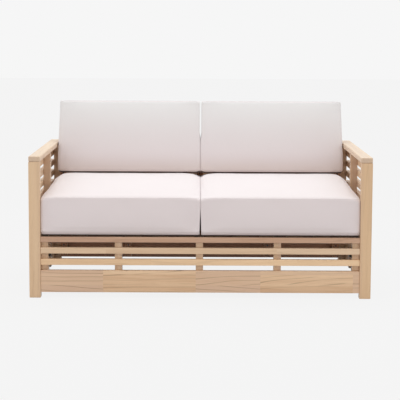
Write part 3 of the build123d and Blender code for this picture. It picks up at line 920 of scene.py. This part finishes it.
class LOVESEAT_OT_seat_deck(Operator):
    """Finish the plain sawn boards under the cushions"""

    bl_idname = "loveseat.seat_deck"
    bl_label = "Seat Deck"

    def execute(self, context):
        # Painted shade: the deck is darkened, and the slats' tops nearly black where the cushions rest
        look = {"figure": 0.7, "tint": DECK_PAINTED_SHADE}
        slats = {"figure": 0.6, "tint": DECK_SLAT_PAINTED_SHADE, "painted_shade_top": 0.92}
        dress_board("seat_slats", "Deck_slats", ALONG_Y_FLAT, seed=81.0, stave=(1.0, 0.111), **slats)
        for number, node in enumerate(("front_ledger", "rear_ledger", "centre_bearer")):
            dress_board(node, f"Deck_{node}", ALONG_X, seed=82.0 + number, stave=(0.8, 0.1), **look)
        for number, node in enumerate(("left_corner_block", "right_corner_block")):
            dress_board(node, f"Deck_{node}", ALONG_Z, seed=86.0 + number, stave=(1.0, 0.1), **look)
        return {"FINISHED"}


class LOVESEAT_OT_fasteners(Operator):
    """Finish the screws, bolts, washers, insert nuts and dowels"""

    bl_idname = "loveseat.fasteners"
    bl_label = "Fasteners"

    def execute(self, context):
        zinc = steel_material("Zinc_plate")
        for node in ("stile_screws", "seat_slat_screws", "frame_bolts", "bolt_washers", "insert_nuts"):
            dress(node, zinc)
        look = {"stave": (1.0, 0.2), "patchwork": 0.1, "figure": 0.2}
        dress_board("cap_dowels", "Dowel_wood", ALONG_Z, seed=91.0, **look)
        return {"FINISHED"}


# Shaping of the seat cushions. Depths are behind their front, heights above their foot, and the sides are places
# across the left one. A share rises or falls over each span.
SEAT_SOFT_PASSES = 5
UNDER_BACK_PLACES = (0.13, 0.155)
UNDER_BACK_SLANTS = (0.2, 0.6)
UNDERSIDE_SLANTS = (0.3, 0.8)
LIP_RISE = 0.0125
LIP_DEPTHS = (0.003, 0.017)
LIP_HEIGHTS = (0.010, 0.045)
STANDING_RISE = 0.006
STANDING_INNER_RISE = 0.003
STANDING_PLACES = (-0.05, 0.10)
STANDING_SIDES = (0.200, 0.315)
STANDING_HEIGHTS = (0.06, 0.15)
STANDING_INNER_SIDES = (-0.055, -0.02)
SEAT_CORNER = 0.0045
CORNER_DEPTHS = (0.020, 0.035)
FOOT_CORNER = 0.0040
FOOT_CORNER_HEIGHTS = (0.030, 0.045)
FRONT_DEPTHS = (0.030, 0.060)
TOP_EDGE_HEIGHTS = (0.110, 0.135)
SIDE_EDGE = 0.0045
SIDE_EDGE_DEPTH = 0.03
SIDE_EDGE_HEIGHTS = (0.10, 0.13)
TOUCH = 0.0002
PARTING = 0.0035
PARTING_DEPTHS = (0.05, 0.15)
PARTING_HEIGHTS = (0.02, 0.13)
LEG_LINE = 0.6535
LEG_DEPTHS = (0.05, 0.20)


def near_front(place, depths):
    return 1.0 - smoothstep(place.y, *[SEAT_FRONT + depth for depth in depths])


def above_foot(place, heights):
    return smoothstep(place.z, *[SEAT_FOOT + height for height in heights])


def beside_share(normal):
    """One on a flank, which a neighbour holds."""
    return smoothstep(abs(normal.x), *FLANK_SLANTS)


def seat_free_share(place, normal):
    """Free on the top and front, and held where it lies on the slats, by a neighbour or under a back cushion."""
    under_back = smoothstep(place.y, *UNDER_BACK_PLACES) * smoothstep(normal.z, *UNDER_BACK_SLANTS)
    on_slats = smoothstep(-normal.z, *UNDERSIDE_SLANTS)
    return 1.0 - max(under_back, on_slats, beside_share(normal))


def seat_trim(place):
    """The bottom edge of the front turns up, and the side edges stand up beside the back cushion."""
    lip = LIP_RISE * near_front(place, LIP_DEPTHS) * (1.0 - above_foot(place, LIP_HEIGHTS))
    rise = STANDING_RISE + STANDING_INNER_RISE * smoothstep(place.x, *STANDING_INNER_SIDES)
    rise *= smoothstep(place.y, *STANDING_PLACES)
    rise *= smoothstep(abs(abs(place.x) - SEAT_MIDDLE), *STANDING_SIDES)
    return Vector((0.0, 0.0, lip + rise * above_foot(place, STANDING_HEIGHTS)))


def seat_softness(place, normal):
    """The top edge of the front is softer than the others."""
    return near_front(place, FRONT_DEPTHS) * above_foot(place, TOP_EDGE_HEIGHTS)


def seat_front_corner(place):
    """The upright edges of the front are tight."""
    return SEAT_CORNER * near_front(place, CORNER_DEPTHS)


def seat_foot_corner(place):
    """The lower corners of the front are tight."""
    front = near_front(place, FRONT_DEPTHS)
    return FOOT_CORNER * front * (1.0 - above_foot(place, FOOT_CORNER_HEIGHTS))


def seat_side_edge(place):
    """The top edges stand up tight beside the back cushion."""
    rear = smoothstep(place.y, SEAT_FRONT + SIDE_EDGE_DEPTH, 0.0)
    return SIDE_EDGE * above_foot(place, SIDE_EDGE_HEIGHTS) * rear


def seat_inner_line(place):
    """The seat cushions touch, and part a little towards the bottom of the front."""
    front = near_front(place, PARTING_DEPTHS)
    return -TOUCH - PARTING * front * (1.0 - above_foot(place, PARTING_HEIGHTS))


def seat_outer_line(place):
    """The outer flank comes up to the leg."""
    front = near_front(place, LEG_DEPTHS)
    return LEG_LINE * front + abs(place.x) * (1.0 - front)


class LOVESEAT_OT_seat_cushions(Operator):
    """Sew and fill the two seat cushions"""

    bl_idname = "loveseat.seat_cushions"
    bl_label = "Seat Cushions"

    def execute(self, context):
        left = soft_blank("left_seat_cushion", "Cushion_left_seat")
        fill_cushion(left, UP, seat_free_share, seat_trim)
        soften(left, seat_softness, SEAT_SOFT_PASSES)
        refine(left)
        square_up(left, ACROSS, REARWARDS, seat_front_corner)
        square_up(left, ACROSS, UP, seat_foot_corner)
        square_up(left, ACROSS, UP, seat_side_edge)
        meet(left, 1, seat_inner_line)
        meet(left, -1, seat_outer_line)
        cloth = cover_material("Woven_cover", on_back=False)
        furnish_pair(left, "seat", (ACROSS, REARWARDS, UP), cloth)
        return {"FINISHED"}


# Shaping of the back cushions, by heights and by places across the left one
BACK_SOFT_PASSES = 14
LEANING_SLANTS = (0.2, 0.7)
RAIL_HEIGHTS = (0.6, 0.66)
BACK_TOP_RISE = 0.0035
BACK_TOP_HEIGHTS = (0.705, 0.755)
BACK_FOOT_HEIGHTS = (0.475, 0.515)
BACK_OUTER_SIDES = (0.575, 0.61)
BACK_INNER_SIDES = (-0.045, -0.02)
BACK_INNER_SOFTNESS = 0.12
BACK_CORNER = 0.0050
BACK_CORNER_HEIGHTS = (0.715, 0.745)
BACK_EDGE = 0.0050
BACK_EDGE_SIDES = (-0.10, -0.03)
BACK_TOUCH = 0.0001
BACK_PARTING = 0.0043
BACK_PARTING_HEIGHTS = (0.590, 0.622)


def back_free_share(place, normal):
    """Free on the front and top, and held where it stands on the seat or leans on the rail."""
    on_seat = smoothstep(-normal.z, *LEANING_SLANTS)
    on_rail = smoothstep(normal.y, *LEANING_SLANTS) * (1.0 - smoothstep(place.z, *RAIL_HEIGHTS))
    return 1.0 - max(on_seat, on_rail, beside_share(normal))


def back_trim(place):
    """The top edge stands up a little more."""
    return SLOPE * BACK_TOP_RISE * smoothstep(place.z, *BACK_TOP_HEIGHTS)


def back_softness(place, normal):
    """The lower corners are rounder than the upper ones, and the outer one most."""
    low = 1.0 - smoothstep(place.z, *BACK_FOOT_HEIGHTS)
    outer = smoothstep(-place.x, *BACK_OUTER_SIDES)
    return low * max(outer, BACK_INNER_SOFTNESS * smoothstep(place.x, *BACK_INNER_SIDES))


def back_top_corner(place):
    """The upper corners are tight."""
    return BACK_CORNER * smoothstep(place.z, *BACK_CORNER_HEIGHTS)


def back_side_edge(place):
    """The sewn edges beside the other cushion are tight."""
    return BACK_EDGE * smoothstep(place.x, *BACK_EDGE_SIDES)


def back_inner_line(place):
    """The back cushions touch up to half their height and then part a little."""
    return -BACK_TOUCH - BACK_PARTING * smoothstep(place.z, *BACK_PARTING_HEIGHTS)


class LOVESEAT_OT_back_cushions(Operator):
    """Sew and fill the two back cushions"""

    bl_idname = "loveseat.back_cushions"
    bl_label = "Back Cushions"

    def execute(self, context):
        left = soft_blank("left_back_cushion", "Cushion_left_back")
        fill_cushion(left, FORWARD, back_free_share, back_trim)
        soften(left, back_softness, BACK_SOFT_PASSES)
        refine(left)
        square_up(left, ACROSS, SLOPE, back_top_corner)
        square_up(left, ACROSS, FORWARD, back_side_edge)
        meet(left, 1, back_inner_line)
        cloth = cover_material("Woven_cover_back", on_back=True)
        furnish_pair(left, "back", (ACROSS, SLOPE, FORWARD), cloth)
        return {"FINISHED"}


def background_rays(tree):
    """One where a ray comes from the camera, a gloss or glass, and so sees the paper as it is."""
    path = put(tree, "LightPath").outputs
    seen = maths(tree, "MAXIMUM", path["Is Camera Ray"], path["Is Glossy Ray"])
    return maths(tree, "MAXIMUM", seen, path["Is Transmission Ray"])


def add_lamp(name, power, place, target, size):
    """A large soft lamp that points at a target."""
    bpy.ops.object.light_add(type="AREA", location=place)
    lamp = bpy.context.object
    lamp.name = name
    lamp.data.shape = "RECTANGLE"
    lamp.data.size, lamp.data.size_y = size
    lamp.data.energy = power
    lamp.rotation_euler = (Vector(target) - Vector(place)).to_track_quat("-Z", "Y").to_euler()
    return lamp


class LOVESEAT_OT_stage(Operator):
    """Set up the plain floor, the light and the camera"""

    bl_idname = "loveseat.stage"
    bl_label = "Stage"

    def execute(self, context):
        stage = context.scene.loveseat_stage
        paper = rgba((stage.background, stage.background, stage.background))
        bpy.ops.object.select_all(action="DESELECT")
        bpy.ops.mesh.primitive_plane_add(size=FLOOR_SIZE, location=(0.0, 0.0, -FLOOR_DROP))
        floor = context.object
        floor.name = "Floor"
        material, tree, shader = new_material("Pale_floor")
        tree.nodes.remove(shader)
        matt = put(tree, "BsdfDiffuse", {"Color": rgba(FLOOR_COLOUR)}).outputs[0]
        shown = put(tree, "Emission", {"Color": paper, "Strength": 1.0}).outputs[0]
        share = times(tree, background_rays(tree), 1.0 - stage.floor_shade)
        mixed = put(tree, "MixShader", {0: share, 1: matt, 2: shown}).outputs[0]
        output = next(n for n in tree.nodes if n.type == "OUTPUT_MATERIAL")
        tree.links.new(mixed, output.inputs["Surface"])
        floor.data.materials.append(material)

        world = bpy.data.worlds.new("Studio")
        context.scene.world = world
        world.use_nodes = True
        tree = world.node_tree
        tree.nodes.clear()
        soft = put(tree, "Background", {"Color": rgba(PLAIN), "Strength": stage.sky}).outputs[0]
        shown = put(tree, "Background", {"Color": paper, "Strength": 1.0}).outputs[0]
        mixed = put(tree, "MixShader", {0: background_rays(tree), 1: soft, 2: shown}).outputs[0]
        put(tree, "OutputWorld", {"Surface": mixed})

        add_lamp("Top_lamp", stage.top_power, **TOP_LAMP)
        rear = add_lamp("Rear_lamp", stage.rear_power, **REAR_LAMP)
        rear.data.color = stage.rear_colour

        bpy.ops.object.camera_add(location=CAMERA_PLACE)
        camera = context.object
        camera.name = "Camera"
        tilt = Matrix.Rotation(math.pi / 2 - CAMERA_PITCH, 3, "X") @ Matrix.Rotation(CAMERA_ROLL, 3, "Z")
        camera.rotation_euler = (Matrix.Rotation(CAMERA_YAW, 3, "Z") @ tilt).to_euler()
        camera.data.sensor_width = SENSOR_WIDTH
        camera.data.lens = CAMERA_LENS
        camera.data.shift_x, camera.data.shift_y = CAMERA_SHIFT
        context.scene.camera = camera
        context.scene.view_settings.view_transform = "Standard"
        return {"FINISHED"}


class LOVESEAT_PT_panel(Panel):
    """Lists the sizes, colours and steps of the loveseat"""

    bl_idname = "LOVESEAT_PT_panel"
    bl_label = "Loveseat"
    bl_space_type = "VIEW_3D"
    bl_region_type = "UI"
    bl_category = "Loveseat"

    def draw(self, context):
        for group in (getattr(context.scene, name) for name in GROUPS):
            column = self.layout.column()
            for name in group.__annotations__:
                column.prop(group, name)
        for step in STEPS:
            self.layout.operator(step.bl_idname)


STEPS = (
    LOVESEAT_OT_frame_boards,
    LOVESEAT_OT_arm_caps,
    LOVESEAT_OT_seat_deck,
    LOVESEAT_OT_fasteners,
    LOVESEAT_OT_seat_cushions,
    LOVESEAT_OT_back_cushions,
    LOVESEAT_OT_stage,
)
GROUPS = {
    "loveseat_wood": WoodSettings,
    "loveseat_cushions": CushionSettings,
    "loveseat_stage": StageSettings,
}


def register():
    for kind in (*GROUPS.values(), *STEPS, LOVESEAT_PT_panel):
        bpy.utils.register_class(kind)
    for name, kind in GROUPS.items():
        setattr(bpy.types.Scene, name, PointerProperty(type=kind))


def unregister():
    for name in GROUPS:
        delattr(bpy.types.Scene, name)
    for kind in (LOVESEAT_PT_panel, *reversed(STEPS), *reversed(GROUPS.values())):
        bpy.utils.unregister_class(kind)


def main():
    register()
    for step in STEPS:
        family, name = step.bl_idname.split(".")
        getattr(getattr(bpy.ops, family), name)()


if __name__ == "__main__":
    main()
